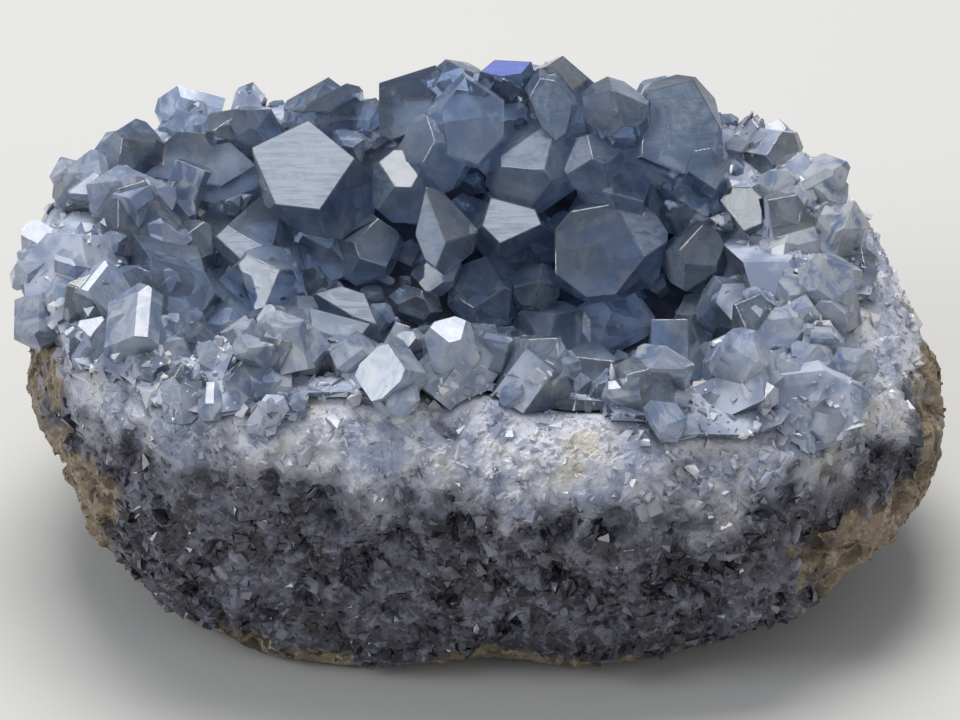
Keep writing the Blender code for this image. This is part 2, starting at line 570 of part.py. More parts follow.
def large_crystals(tree, rng):
    """The crystals that give the piece its look, and the room that each one takes, in metres."""
    crystals, rooms = [], []
    for spec in FACED_CRYSTALS:
        planes, middle = faced_crystal_planes(spec)
        bm = cut_block(planes, middle)
        bm.transform(Matrix.Scale(MM, 4))
        sides = [across for across, _ in spec["face"]]
        wide = max(sides) - min(sides)
        behind = Vector(spec["looks"]).normalized() * min(wide, spec["deep"]) * FACED_ROOM_DEPTH
        crystals.append(bm)
        rooms.append(((middle - behind) * MM, wide * FACED_ROOM * MM))
    for spec in LONG_CRYSTALS:
        frame = crystal_frame(spec["points"], spec["faces"])
        half = frame.col[0] * spec["long"] * 0.5
        place, normal = seen_on(tree, spec["across"] - half.x, spec["up"] - half.dot(VIEW_UP))
        root = place + normal * (LINING - LARGE_SUNK) * MM
        planes = long_crystal_planes(spec["wide"], spec["thick"], spec["long"], rng)
        crystals.append(placed(cut_block(planes), root, frame))
        rooms.append((root, spec["wide"] * LONG_ROOM * MM))
    return crystals, rooms


def filler_crystals(wall, rooms, rng):
    """Smaller crystals over what is left of the hollow and crest, a little apart from each other."""
    faces = [f for f in wall.faces if f.material_index == 1]
    areas = [f.calc_area() for f in faces]
    rooms = list(rooms)
    for _ in range(FILLER_TRIES):
        face = rng.choices(faces, weights=areas)[0]
        across, on = sorted((rng.random(), rng.random()))
        a, b, c = (v.co for v in face.verts)
        place = a * across + b * (on - across) + c * (1 - on)
        place += face.normal * (LINING - FILLER_SUNK) * MM
        size = rng.uniform(*FILLER_SIZES)
        outside = face.normal.xy.dot((place - MIDDLE).xy) > 0
        if outside:
            size *= OUTSIDE_SIZE
        room = size / 2 * MM
        tall = size * rng.uniform(*FILLER_TALL)
        bare = OUTSIDE_BARE if place.y > FRONT_FROM * MM else FRONT_BARE
        if outside and rng.random() < bare:
            continue
        gaps = ((place - other).length - FILLER_SPACING * (room + taken) for other, taken in rooms)
        if min(gaps) < 0:
            continue
        tip = place / MM + face.normal * tall
        if tip.dot(VIEW_UP) > FILLER_TOP or abs(tip.x) > FILLER_REACH:
            continue
        rooms.append((place, room))
        lean = Vector([rng.uniform(-FILLER_LEAN, FILLER_LEAN) for _ in range(3)])
        broad = Vector([rng.uniform(-1, 1) for _ in range(3)]) + FILLER_FACES
        frame = crystal_frame(face.normal + lean, broad)
        planes = long_crystal_planes(size, size * rng.uniform(*FILLER_THICK), tall, rng)
        kept = [(normal, distance) for normal, distance in planes if abs(normal[1]) < 1]
        yield placed(cut_block(kept, size=FILLER_BLOCK_SIZE), place, frame)


def new_object(name, bm, material=None):
    mesh = bpy.data.meshes.new(name)
    bm.to_mesh(mesh)
    bm.free()
    obj = bpy.data.objects.new(name, mesh)
    bpy.context.scene.collection.objects.link(obj)
    if material:
        mesh.materials.clear()
        mesh.materials.append(material)
        mesh.polygons.foreach_set("material_index", [0] * len(mesh.polygons))
    return obj


def surface(name, colour, roughness, clear=0.0):
    material = bpy.data.materials.new(name)
    material.use_nodes = True
    shader = material.node_tree.nodes["Principled BSDF"]
    shader.inputs["Base Color"].default_value = colour
    shader.inputs["Roughness"].default_value = roughness
    shader.inputs["Metallic"].default_value = 0.0
    shader.inputs["Transmission Weight"].default_value = clear
    return material


def boolean(obj, operation, other):
    """EXACT loses most of the crust where this many crystals meet, so the solver is the other one."""
    modifier = obj.modifiers.new(operation.title(), "BOOLEAN")
    modifier.operation = operation
    modifier.solver = "MANIFOLD"
    if isinstance(other, bpy.types.Collection):
        modifier.operand_type = "COLLECTION"
        modifier.collection = other
    else:
        modifier.object = other


def keep_largest_shell(bm):
    """Deletes the crumbs that trimming leaves, and any closed pocket between crystals."""
    left, shells = set(bm.verts), []
    while left:
        shell, edge = set(), [left.pop()]
        while edge:
            v = edge.pop()
            shell.add(v)
            near = {e.other_vert(v) for e in v.link_edges} & left
            left -= near
            edge.extend(near)
        shells.append(shell)
    shells.sort(key=len)
    crumbs = [v for shell in shells[:-1] for v in shell]
    bmesh.ops.delete(bm, geom=crumbs, context="VERTS")


def crust_mesh(lining, crystals, trimmer):
    """Lining and crystals joined, cut back from the wall, as one closed bmesh."""
    together = bpy.data.collections.new("crystals")
    for k, bm in enumerate(crystals):
        helper = new_object(f"crystal_{k:03d}", bm)
        bpy.context.scene.collection.objects.unlink(helper)
        together.objects.link(helper)
    body = new_object("lining", lining)
    boolean(body, "UNION", together)
    boolean(body, "DIFFERENCE", new_object("trimmer", trimmer))
    bpy.context.view_layer.update()
    graph = bpy.context.evaluated_depsgraph_get()
    bm = bmesh.new()
    bm.from_mesh(body.evaluated_get(graph).to_mesh())
    for helper in list(together.objects) + [body, bpy.data.objects["trimmer"]]:
        bpy.data.objects.remove(helper)
    bpy.data.collections.remove(together)
    keep_largest_shell(bm)
    return bm


def main():
    for obj in list(bpy.data.objects):
        bpy.data.objects.remove(obj)
    wall = wall_mesh()
    tree = BVHTree.FromBMesh(wall)
    rng = random.Random(FILLER_SEED)
    crystals, rooms = large_crystals(tree, rng)
    crystals.extend(filler_crystals(wall, rooms, rng))
    crust = crust_mesh(lining_mesh(wall), crystals, grown(wall, GAP * MM))
    new_object("geode_wall", wall, surface("granular_rock", ROCK_COLOUR, 0.8))
    new_object("crystal_crust", crust, surface("celestine", CRYSTAL_COLOUR, 0.1, clear=0.7))


main()
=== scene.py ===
import json
import math
import random

import bmesh
import bpy
from mathutils import Euler, Matrix, Vector, noise
from mathutils.bvhtree import BVHTree

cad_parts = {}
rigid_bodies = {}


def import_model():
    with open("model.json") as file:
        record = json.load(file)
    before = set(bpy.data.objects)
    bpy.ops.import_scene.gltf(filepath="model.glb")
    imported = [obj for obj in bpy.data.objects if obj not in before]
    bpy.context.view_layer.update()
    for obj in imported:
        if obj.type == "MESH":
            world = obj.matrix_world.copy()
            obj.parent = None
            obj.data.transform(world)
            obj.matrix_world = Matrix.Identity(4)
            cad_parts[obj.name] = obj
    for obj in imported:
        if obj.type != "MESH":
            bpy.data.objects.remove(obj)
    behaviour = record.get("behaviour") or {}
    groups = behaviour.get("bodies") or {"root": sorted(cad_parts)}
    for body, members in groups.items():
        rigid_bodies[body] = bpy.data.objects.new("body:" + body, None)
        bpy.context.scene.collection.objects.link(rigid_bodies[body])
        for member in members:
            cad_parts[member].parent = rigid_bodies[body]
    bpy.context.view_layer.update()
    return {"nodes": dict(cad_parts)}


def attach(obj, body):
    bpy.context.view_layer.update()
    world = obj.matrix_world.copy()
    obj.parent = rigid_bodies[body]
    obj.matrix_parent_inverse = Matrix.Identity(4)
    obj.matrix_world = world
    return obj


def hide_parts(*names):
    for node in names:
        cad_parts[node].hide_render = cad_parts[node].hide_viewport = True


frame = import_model()

mm = 0.001
viewRise = math.radians(35.0)  # how far above level the camera looks from
viewFrom = Vector((0.0, -math.cos(viewRise), math.sin(viewRise)))
viewUp = Vector((0.0, math.sin(viewRise), math.cos(viewRise)))
imageWide = 960
pixelsPerMm = 5.13
originRow = 546.6  # the image row of the origin
middleRow = 360
noise.seed_set(11)  # the vector noise would else differ from run to run


# shader and geometry trees


class Value:  # a node's output, so that maths on it reads as an expression
    def __init__(self, sheet, socket):
        self.sheet = sheet
        self.socket = socket

    def maths(self, operation, first, second):
        return self.sheet.node("ShaderNodeMath", dict(operation=operation), {0: first, 1: second})

    def __add__(self, other):
        return self.maths("ADD", self, other)

    def __sub__(self, other):
        return self.maths("SUBTRACT", self, other)

    def __rsub__(self, other):
        return self.maths("SUBTRACT", other, self)

    def __mul__(self, other):
        return self.maths("MULTIPLY", self, other)

    def __pow__(self, other):
        return self.maths("POWER", self, other)

    def between(self, low, high):  # 0 under low, 1 over high, eased
        return self.sheet.node(
            "ShaderNodeMapRange",
            dict(interpolation_type="SMOOTHSTEP"),
            {"Value": self, "From Min": low, "From Max": high},
        )

    def clamped(self):
        return self.sheet.node("ShaderNodeClamp", {}, {"Value": self})

    def other(self, name):  # another output of the same node
        return Value(self.sheet, pickSocket(self.socket.node.outputs, name))


def pickSocket(sockets, key):
    if isinstance(key, int):
        return sockets[key]
    named = [socket for socket in sockets if socket.name == key]
    return ([socket for socket in named if socket.enabled] or named)[0]


class NodeSheet:  # a node tree and the one way that nodes are added to it
    def __init__(self, tree):
        self.tree = tree

    def node(self, kind, settings, sockets, output=0):
        made = self.tree.nodes.new(kind)
        for name, value in settings.items():
            setattr(made, name, value)
        for key, value in sockets.items():
            socket = pickSocket(made.inputs, key)
            if isinstance(value, Value):
                self.tree.links.new(value.socket, socket)
            else:
                socket.default_value = (*value, 1.0) if socket.type == "RGBA" else value
        return Value(self, pickSocket(made.outputs, output)) if len(made.outputs) else None

    def place(self):  # the point on the piece, in metres
        return self.node("ShaderNodeTexCoord", {}, {}, "Object")

    def scaled(self, vector, factors):
        return self.node("ShaderNodeVectorMath", dict(operation="MULTIPLY"), {0: vector, 1: factors})

    def cloud(self, vector, size, detail=3.0, roughness=0.55, distortion=0.0):
        sockets = {"Vector": vector, "Scale": 1 / size, "Detail": detail}
        sockets.update({"Roughness": roughness, "Distortion": distortion})
        return self.node("ShaderNodeTexNoise", {}, sockets)

    def cellTones(self, vector, size):  # one random tone for each cell
        return self.node("ShaderNodeTexVoronoi", {}, {"Vector": vector, "Scale": 1 / size}, "Color")

    def stored(self, name):
        return self.node("ShaderNodeAttribute", dict(attribute_name=name), {}, "Fac")

    def mixed(self, share, first, second):
        sockets = {"Factor": share, "A": first, "B": second}
        return self.node("ShaderNodeMix", dict(data_type="RGBA"), sockets, "Result")

    def bump(self, height, depth, strength=1.0):
        sockets = {"Height": height, "Distance": depth, "Strength": strength}
        return self.node("ShaderNodeBump", {}, sockets)


def newMaterial(name):
    material = bpy.data.materials.new(name)
    material.use_nodes = True
    return material, NodeSheet(material.node_tree)


def finishShader(sheet, values):
    shader = sheet.tree.nodes["Principled BSDF"]
    for name, value in values.items():
        if isinstance(value, Value):
            sheet.tree.links.new(value.socket, shader.inputs[name])
        else:
            shader.inputs[name].default_value = value


# small helpers for shapes


def eased(value, low, high):
    share = max(0.0, min(1.0, (value - low) / (high - low)))
    return share * share * (3 - 2 * share)


def newObject(name, mesh, finish=None):
    piece = bpy.data.objects.new(name, mesh)
    bpy.context.scene.collection.objects.link(piece)
    if finish:
        mesh.materials.clear()
        mesh.materials.append(finish)
    return piece


def meshOf(name, bm):
    mesh = bpy.data.meshes.new(name)
    bm.to_mesh(mesh)
    bm.free()
    return mesh


def cadShape(node):  # a merged copy of a CAD node
    bm = bmesh.new()
    bm.from_mesh(frame["nodes"][node].data)
    bmesh.ops.remove_doubles(bm, verts=bm.verts, dist=1e-6)
    for face in bm.faces:
        face.smooth = False
    bm.normal_update()
    return bm


def evaluatedMesh(holder):  # what a holder's modifiers make, as a plain mesh
    graph = bpy.context.evaluated_depsgraph_get()
    mesh = bpy.data.meshes.new_from_object(
        holder.evaluated_get(graph), preserve_all_data_layers=True, depsgraph=graph
    )
    holder.modifiers.clear()
    bpy.data.objects.remove(holder)
    return mesh


def storeOnPoints(mesh, name, values):
    mesh.attributes.new(name, "FLOAT", "POINT").data.foreach_set("value", values)


def declare(piece, slot, *nodes):
    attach(piece, "root")
    if nodes:
        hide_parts(*nodes)
    print(f"{piece.name}: {len(piece.data.polygons)} faces")


def seenAt(tree, spot):  # what shows at a spot given in millimetres across and up in the view
    start = Vector((spot["across"] * mm, 0, 0)) + viewUp * spot["up"] * mm + viewFrom
    return tree.ray_cast(start, -viewFrom)


# where each kind of surface is on the wall

# A range runs from where a zone starts to where it is full, in millimetres.
wallZones = dict(
    middle=Vector((0.0, 3.0, 0.0)) * mm,
    crestBins=36,
    patch=dict(size=14.0, height=9.0, weight=0.55),  # they make the borders between kinds uneven
    speck=dict(size=4.0, height=5.0, weight=0.4),
    paleBelow=(3.0, 19.0),  # depths below the crest between which the pale band fades
    rightBack=dict(x=(36.0, 60.0), y=(-12.0, 12.0), paleLower=16.0, rindLower=14.0),
    back=dict(y=(8.0, 30.0), below=(4.0, 13.0)),
    foot=dict(z=(3.0, 11.0), share=0.75),
    leftEnd=dict(x=(62.0, 76.0), below=(12.0, 30.0)),
    leftTip=dict(x=(77.0, 85.0), share=0.8),
    rightEnd=dict(x=(50.0, 68.0), below=(17.0, 31.0)),
    rightTip=dict(x=(80.0, 87.0), below=(8.0, 18.0)),
    rindShare=(0.42, 0.66),
)
wallShape = cadShape("geode_wall")
wallTree = BVHTree.FromBMesh(wallShape)
crustShape = cadShape("crystal_crust")
crustTree = BVHTree.FromBMesh(crustShape)


def turnShare(place):  # the place's direction seen from above, in crest bins
    offset = place - wallZones["middle"]
    return math.atan2(offset.y, offset.x) / (2 * math.pi) % 1.0 * wallZones["crestBins"]


def crestHeights():
    highest = [0.0] * wallZones["crestBins"]
    for vertex in wallShape.verts:
        spot = int(turnShare(vertex.co)) % len(highest)
        highest[spot] = max(highest[spot], vertex.co.z)
    return highest


crests = crestHeights()


def depthBelowCrest(place):  # in millimetres
    whole, share = divmod(turnShare(place) - 0.5, 1.0)
    near, far = crests[int(whole) % len(crests)], crests[int(whole + 1) % len(crests)]
    return (near + (far - near) * share - place.z) / mm


def paleAndRind(place):  # how far a place belongs to the pale band, and to the brown rind
    zones = wallZones
    x, y, z = place / mm
    below = depthBelowCrest(place)
    patch = noise.noise(place / mm / zones["patch"]["size"])
    speck = noise.noise(place / mm / zones["speck"]["size"])
    uneven = zones["patch"]["height"] * patch + zones["speck"]["height"] * speck
    corner = zones["rightBack"]
    rightBack = eased(x, *corner["x"]) * eased(y, *corner["y"])
    pale = 1 - eased(below + uneven - corner["paleLower"] * rightBack, *zones["paleBelow"])
    rindBelow = below - corner["rindLower"] * rightBack
    rind = max(
        eased(y, *zones["back"]["y"]) * eased(rindBelow, *zones["back"]["below"]),
        zones["foot"]["share"] * (1 - eased(z, *zones["foot"]["z"])),
        eased(-x, *zones["leftEnd"]["x"]) * eased(below, *zones["leftEnd"]["below"]),
        zones["leftTip"]["share"] * eased(-x, *zones["leftTip"]["x"]),
        eased(x, *zones["rightEnd"]["x"]) * eased(below, *zones["rightEnd"]["below"]),
        eased(x, *zones["rightTip"]["x"]) * eased(below, *zones["rightTip"]["below"]),
    )
    rind += zones["patch"]["weight"] * patch + zones["speck"]["weight"] * speck
    rind = eased(rind, *zones["rindShare"])
    return pale * (1 - rind), rind


def storeZones(mesh):
    shares = [paleAndRind(vertex.co) for vertex in mesh.vertices]
    storeOnPoints(mesh, "pale", [pale for pale, _ in shares])
    storeOnPoints(mesh, "rind", [rind for _, rind in shares])


# scattered grains and crystals


def scatterTree():
    tree = bpy.data.node_groups.new("scatter", "GeometryNodeTree")
    inputs = (
        ("Surface", "NodeSocketGeometry"),
        ("Spacing", "NodeSocketFloat"),
        ("Most", "NodeSocketFloat"),
        ("Seed", "NodeSocketInt"),
        ("Smallest", "NodeSocketFloat"),
        ("Largest", "NodeSocketFloat"),
        ("Rarity", "NodeSocketFloat"),
        ("Sink", "NodeSocketFloat"),
        ("Lean", "NodeSocketFloat"),
        ("Shapes", "NodeSocketCollection"),
        ("Finish", "NodeSocketMaterial"),
    )
    for name, kind in inputs:
        tree.interface.new_socket(name=name, in_out="INPUT", socket_type=kind)
    tree.interface.new_socket(name="Pieces", in_out="OUTPUT", socket_type="NodeSocketGeometry")
    sheet = NodeSheet(tree)
    given = sheet.node("NodeGroupInput", {}, {})
    cover = sheet.node("GeometryNodeInputNamedAttribute", dict(data_type="FLOAT"), {"Name": "cover"})
    points = sheet.node(
        "GeometryNodeDistributePointsOnFaces",
        dict(distribute_method="POISSON"),
        {
            "Mesh": given.other("Surface"),
            "Distance Min": given.other("Spacing"),
            "Density Max": given.other("Most"),
            "Density Factor": cover,
            "Seed": given.other("Seed"),
        },
        "Points",
    )

    def chance(low, high, seed, kind="FLOAT"):
        sockets = {"Min": low, "Max": high, "Seed": seed}
        return sheet.node("FunctionNodeRandomValue", dict(data_type=kind), sockets, "Value")

    size = chance(0.0, 1.0, 1) ** given.other("Rarity")
    size = given.other("Smallest") + size * (given.other("Largest") - given.other("Smallest"))
    sunk = sheet.node(
        "ShaderNodeVectorMath",
        dict(operation="SCALE"),
        {0: points.other("Normal"), "Scale": given.other("Sink") * size * -1.0},
    )
    moved = sheet.node("GeometryNodeSetPosition", {}, {"Geometry": points, "Offset": sunk})
    leaning = chance((-1.0, -1.0, -1.0), (1.0, 1.0, 1.0), 2, "FLOAT_VECTOR")
    leaning = sheet.node(
        "ShaderNodeVectorMath", dict(operation="SCALE"), {0: leaning, "Scale": given.other("Lean")}
    )
    spun = chance((0.0, 0.0, 0.0), (0.0, 0.0, 2 * math.pi), 3, "FLOAT_VECTOR")
    turned = sheet.node("ShaderNodeVectorMath", dict(operation="ADD"), {0: leaning, 1: spun})
    turned = sheet.node("FunctionNodeEulerToRotation", {}, {"Euler": turned})
    turned = sheet.node(
        "FunctionNodeRotateRotation",
        dict(rotation_space="LOCAL"),
        {"Rotation": points.other("Rotation"), "Rotate By": turned},
    )
    stretched = chance((0.75, 0.75, 0.75), (1.2, 1.2, 1.2), 4, "FLOAT_VECTOR")
    stretched = sheet.node(
        "ShaderNodeVectorMath", dict(operation="SCALE"), {0: stretched, "Scale": size}
    )
    shapes = sheet.node(
        "GeometryNodeCollectionInfo",
        {},
        {"Collection": given.other("Shapes"), "Separate Children": True, "Reset Children": True},
    )
    pieces = sheet.node(
        "GeometryNodeInstanceOnPoints",
        {},
        {
            "Points": moved,
            "Instance": shapes,
            "Pick Instance": True,
            "Rotation": turned,
            "Scale": stretched,
        },
    )
    pieces = sheet.node(
        "GeometryNodeStoreNamedAttribute",
        dict(data_type="FLOAT", domain="INSTANCE"),
        {"Geometry": pieces, "Name": "tone", "Value": chance(0.0, 1.0, 5)},
    )
    pieces = sheet.node("GeometryNodeRealizeInstances", {}, {"Geometry": pieces})
    pieces = sheet.node(
        "GeometryNodeSetMaterial", {}, {"Geometry": pieces, "Material": given.other("Finish")}
    )
    sheet.node("NodeGroupOutput", {}, {"Pieces": pieces})
    return tree


scatter = scatterTree()


def scattered(name, surface, shapes, finish, settings):
    group = bpy.data.collections.new(name)
    for bm in shapes:
        group.objects.link(bpy.data.objects.new(name, meshOf(name, bm)))
    holder = newObject("holder", surface)
    modifier = holder.modifiers.new("scatter", "NODES")
    modifier.node_group = scatter
    given = dict(settings, Shapes=group, Finish=finish)
    for item in scatter.interface.items_tree:
        if item.in_out == "INPUT" and item.name in given:
            modifier[item.identifier] = given[item.name]
    mesh = evaluatedMesh(holder)
    for helper in list(group.objects):
        bpy.data.objects.remove(helper)
    bpy.data.collections.remove(group)
    for vertex in mesh.vertices:
        vertex.co.z = max(vertex.co.z, 0.0)
    mesh.shade_flat()
    return newObject(name, mesh)


def brokenChunk(rng, corners, flat):  # an angular grain about one unit across
    bm = bmesh.new()
    for _ in range(corners):
        corner = Vector([rng.gauss(0.0, 1.0) for _ in range(3)]).normalized() * 0.5
        corner *= rng.uniform(0.8, 1.1)
        corner.z *= flat
        bm.verts.new(corner)
    made = bmesh.ops.convex_hull(bm, input=bm.verts)
    bmesh.ops.delete(bm, geom=made["geom_interior"], context="VERTS")
    bmesh.ops.recalc_face_normals(bm, faces=bm.faces)
    return bm


def cutBlock(planes):  # the solid inside planes given as (normal, distance), in units
    bm = bmesh.new()
    bmesh.ops.create_cube(bm, size=6.0)
    for normal, distance in planes:
        cut = bmesh.ops.bisect_plane(
            bm,
            geom=bm.verts[:] + bm.edges[:] + bm.faces[:],
            dist=1e-5,
            plane_co=Vector(normal) * distance,
            plane_no=Vector(normal),
            clear_outer=True,
        )
        edges = [item for item in cut["geom_cut"] if isinstance(item, bmesh.types.BMEdge)]
        if edges:
            bmesh.ops.edgeloop_fill(bm, edges=edges)
    bmesh.ops.recalc_face_normals(bm, faces=bm.faces)
    return bm


blockHabit = dict(  # of a celestine block one unit wide, with random measures as (least, most)
    dome=math.radians(52.1),
    prism=math.radians(38.0),
    tip=math.radians(50.6),
    root=0.4,
    flank=0.46,
    thick=(0.6, 0.9),
    tall=(0.45, 0.95),
    blunt=(0.2, 0.4),
    ridge=(0.0, 0.14),
    end=(0.03, 0.2),
)


def blockCrystal(rng):  # it stands on its root
    dome, prism, tip, root, flank = (blockHabit[name] for name in ("dome", "prism", "tip", "root", "flank"))
    thick, tall = rng.uniform(*blockHabit["thick"]), rng.uniform(*blockHabit["tall"])
    reach = math.sin(dome) * flank + math.cos(dome) * thick * rng.uniform(*blockHabit["blunt"])
    planes = [((0, 0, -1), root)]
    for side in (-1, 1):
        planes.append(((side, 0, 0), 0.5))
        planes.append(((0, side, 0), thick / 2))
        for end in (-1, 1):
            planes.append(((side * math.sin(dome), end * math.cos(dome), 0), reach))
        distance = tall * math.cos(prism) + rng.uniform(*blockHabit["ridge"])
        planes.append(((side * math.sin(prism), 0, math.cos(prism)), distance))
        distance = tall * math.cos(tip) + rng.uniform(*blockHabit["end"])
        planes.append(((0, side * math.sin(tip), math.cos(tip)), distance))
    return cutBlock(planes)


# the finishes

rockColours = dict(
    dark=(0.012, 0.012, 0.018),
    grey=(0.045, 0.045, 0.064),
    violet=(0.15, 0.15, 0.205),
    mist=(0.37, 0.405, 0.54),
    pale=(0.66, 0.665, 0.72),
    cream=(0.62, 0.59, 0.53),
    rind=(0.26, 0.20, 0.135),
    rindLight=(0.46, 0.40, 0.31),
    rindDark=(0.07, 0.055, 0.04),
    under=(0.30, 0.37, 0.48),  # the hollow behind the crystals
)
rockSizes = dict(broad=10 * mm, fine=1.6 * mm, cells=2.4 * mm, grit=0.7 * mm)


def rockFinish(name, grainTones, shine, grit=0.0):  # grit is a height in millimetres
    material, sheet = newMaterial(name)
    colours, sizes = rockColours, rockSizes
    place = sheet.place()
    broad = sheet.cloud(place, sizes["broad"], 2.0)
    fine = sheet.cloud(place, sizes["fine"], 2.0, 0.7)
    tone = sheet.stored("tone") if grainTones else sheet.cellTones(place, sizes["cells"])
    pale, rind = sheet.stored("pale"), sheet.stored("rind")
    greyer = (broad + tone * 0.2 - 0.1).between(0.38, 0.62)
    colour = sheet.mixed(greyer, colours["dark"], colours["grey"])
    paler = (fine * 0.5 + tone * 0.2 + broad * 0.4).between(0.47, 0.74)
    colour = sheet.mixed(paler, colour, colours["violet"])
    milky = sheet.mixed((broad * 0.8 + tone * 0.2).between(0.36, 0.58), colours["mist"], colours["pale"])
    milky = sheet.mixed(broad.between(0.58, 0.70), milky, colours["cream"])
    colour = sheet.mixed((pale * (broad * 1.2 + 0.5) + tone * 0.16 - 0.08).clamped(), colour, milky)
    rusty = sheet.mixed(fine.between(0.45, 0.75), colours["rind"], colours["rindLight"])
    rusty = sheet.mixed((broad * 0.6 + tone * 0.4).between(0.52, 0.3), rusty, colours["rindDark"])
    colour = sheet.mixed(rind, colour, rusty)
    if not grainTones:
        colour = sheet.mixed(sheet.stored("covered"), colour, colours["under"])
    rough = rind * (0.92 - shine) + shine + fine * 0.1
    values = {"Base Color": colour, "Roughness": rough, "IOR": crystalLook["bending"]}
    if grit:
        values["Normal"] = sheet.bump(sheet.cloud(place, sizes["grit"], 1.0), grit * mm)
    finishShader(sheet, values)
    return material


crystalLook = dict(
    clearCrystal=dict(
        clearness=0.88, deep=(0.43, 0.58, 0.85), slate=(0.67, 0.79, 0.96), hazeAndEdgeHighlight=(0.88, 0.93, 0.99)
    ),
    hazyCrystal=dict(
        clearness=0.50, deep=(0.24, 0.33, 0.53), slate=(0.41, 0.52, 0.76), hazeAndEdgeHighlight=(0.70, 0.77, 0.90)
    ),
    striatedCrystal=dict(
        clearness=0.45, deep=(0.16, 0.24, 0.39), slate=(0.26, 0.35, 0.51), hazeAndEdgeHighlight=(0.40, 0.48, 0.62),
        streaks=(0.44, 0.49, 0.60), rough=0.34, mirror=0.1,
    ),
    whitened=(0.82, 0.84, 0.89),
    cobalt=(0.08, 0.16, 0.85),
    seam=(0.26, 0.17, 0.075),
    roots=((0.38, 0.47, 0.63), (0.86, 0.91, 0.97)),
    # painted shade: near-black for the roots deep in the hollow, where the crystals shade them
    paintedShadeGaps=((0.012, 0.016, 0.026), (0.05, 0.065, 0.10)),
    rim=((0.26, 0.31, 0.44), (0.50, 0.54, 0.66)),
    driftSize=17 * mm,
    veilSize=6 * mm,
    veinsAt=0.47,  # the height of the veils that they follow
    veinWidth=0.0003,
    grainSize=1.1 * mm,
    grainStretch=(0.14, 1.0, 1.0),
    stepHeight=0.2 * mm,
    # how strongly the edge rings are painted pale, a painted highlight
    paintedEdgeHighlight=0.55,
    bending=1.62,
    absorbed=(0.30, 0.52, 0.86),
    absorbing=21.0,  # per metre
)


def crystalFinish(name):
    material, sheet = newMaterial(name)
    look = dict(crystalLook, **crystalLook[name])
    place = sheet.place()
    drift = sheet.cloud(place, look["driftSize"], 1.0)
    veils = sheet.cloud(place, look["veilSize"], 3.0, 0.6, 1.6)
    rough = veils * 0.06 + 0.015
    colour = sheet.mixed((drift * 0.7 + veils * 0.3).between(0.36, 0.6), look["deep"], look["slate"])
    colour = sheet.mixed(veils.between(0.5, 0.66) * 0.85, colour, look["hazeAndEdgeHighlight"])
    vein = (veils - look["veinsAt"]) * (veils - look["veinsAt"])
    veined = (1 - vein.between(0.0, look["veinWidth"])) * drift.between(0.46, 0.56) * 0.7
    colour = sheet.mixed(veined, colour, look["hazeAndEdgeHighlight"])
    whitened = sheet.stored("whiten") * veils.between(0.34, 0.58)
    colour = sheet.mixed(whitened, colour, look["whitened"])
    values = {"Transmission Weight": look["clearness"], "IOR": look["bending"]}
    if "streaks" in look:
        drawnOut = sheet.scaled(place, look["grainStretch"])
        grain = sheet.cloud(drawnOut, look["grainSize"], 3.0, 0.6, 0.6)
        streaked = (grain.between(0.40, 0.60) * (sheet.stored("frost") * 1.3 - 0.1)).clamped()
        colour = sheet.mixed(streaked, colour, look["streaks"])
        rough = rough + look["rough"]
        values["Specular IOR Level"] = look["mirror"]
        values["Normal"] = sheet.bump(grain, look["stepHeight"], 0.6)
    if name != "hazyCrystal":  # the small crystals have no such faces
        # painted highlight: the softened edge rings are painted paler with the haze colour, as if they
        # catch the light
        colour = sheet.mixed(sheet.stored("edge") * look["paintedEdgeHighlight"], colour, look["hazeAndEdgeHighlight"])
        colour = sheet.mixed(sheet.stored("seam"), colour, look["seam"])
        colour = sheet.mixed(sheet.stored("cobalt"), colour, look["cobalt"])
    finishShader(sheet, dict(values, **{"Base Color": colour, "Roughness": rough}))
    sockets = {"Color": look["absorbed"], "Density": look["absorbing"]}
    absorb = sheet.node("ShaderNodeVolumeAbsorption", {}, sockets)
    sheet.tree.links.new(absorb.socket, sheet.tree.nodes["Material Output"].inputs["Volume"])
    return material


def rootFinish(name):  # the milky ground that shows through the crystals, the deep gaps painted dark as shade, or the rim
    material, sheet = newMaterial(name)
    mottled = sheet.cloud(sheet.place(), 7 * mm).between(0.38, 0.62)
    finishShader(sheet, {"Base Color": sheet.mixed(mottled, *crystalLook[name]), "Roughness": 0.7})
    return material


# the wall: its broken surface, chunks, sugary grains and gritty rind

wallLook = dict(
    fineness=3,  # times that each face is divided
    chips=((8.5, 1.1), (3.6, 0.8), (1.8, 0.32)),  # sizes and heights of the broken facets, in millimetres
    heightScatter=3.1,  # they set neighbouring facets apart in the noise
    leanScatter=7.3,
    pits=dict(size=6.5, depth=2.6, share=(0.12, 0.42)),
    calmUnder=(0.8, 2.6),  # nearer than this to the crust it stays as it is
    hiddenUnder=(0.3, 1.2),  # nearer than this it's the ground behind the crystals
    calmFoot=(1.0, 5.0),  # heights over the floor
    bareFoot=(1.2, 2.5),  # pieces lie only over these
    shine=0.38,
    grit=0.25,
)


def chipHeight(place, size):  # flat leaning facets, one for each cell
    near = noise.voronoi(place / size)[1][0]
    lean = noise.noise_vector(near * wallLook["leanScatter"])
    return noise.noise(near * wallLook["heightScatter"]) + lean.dot(place / size - near)


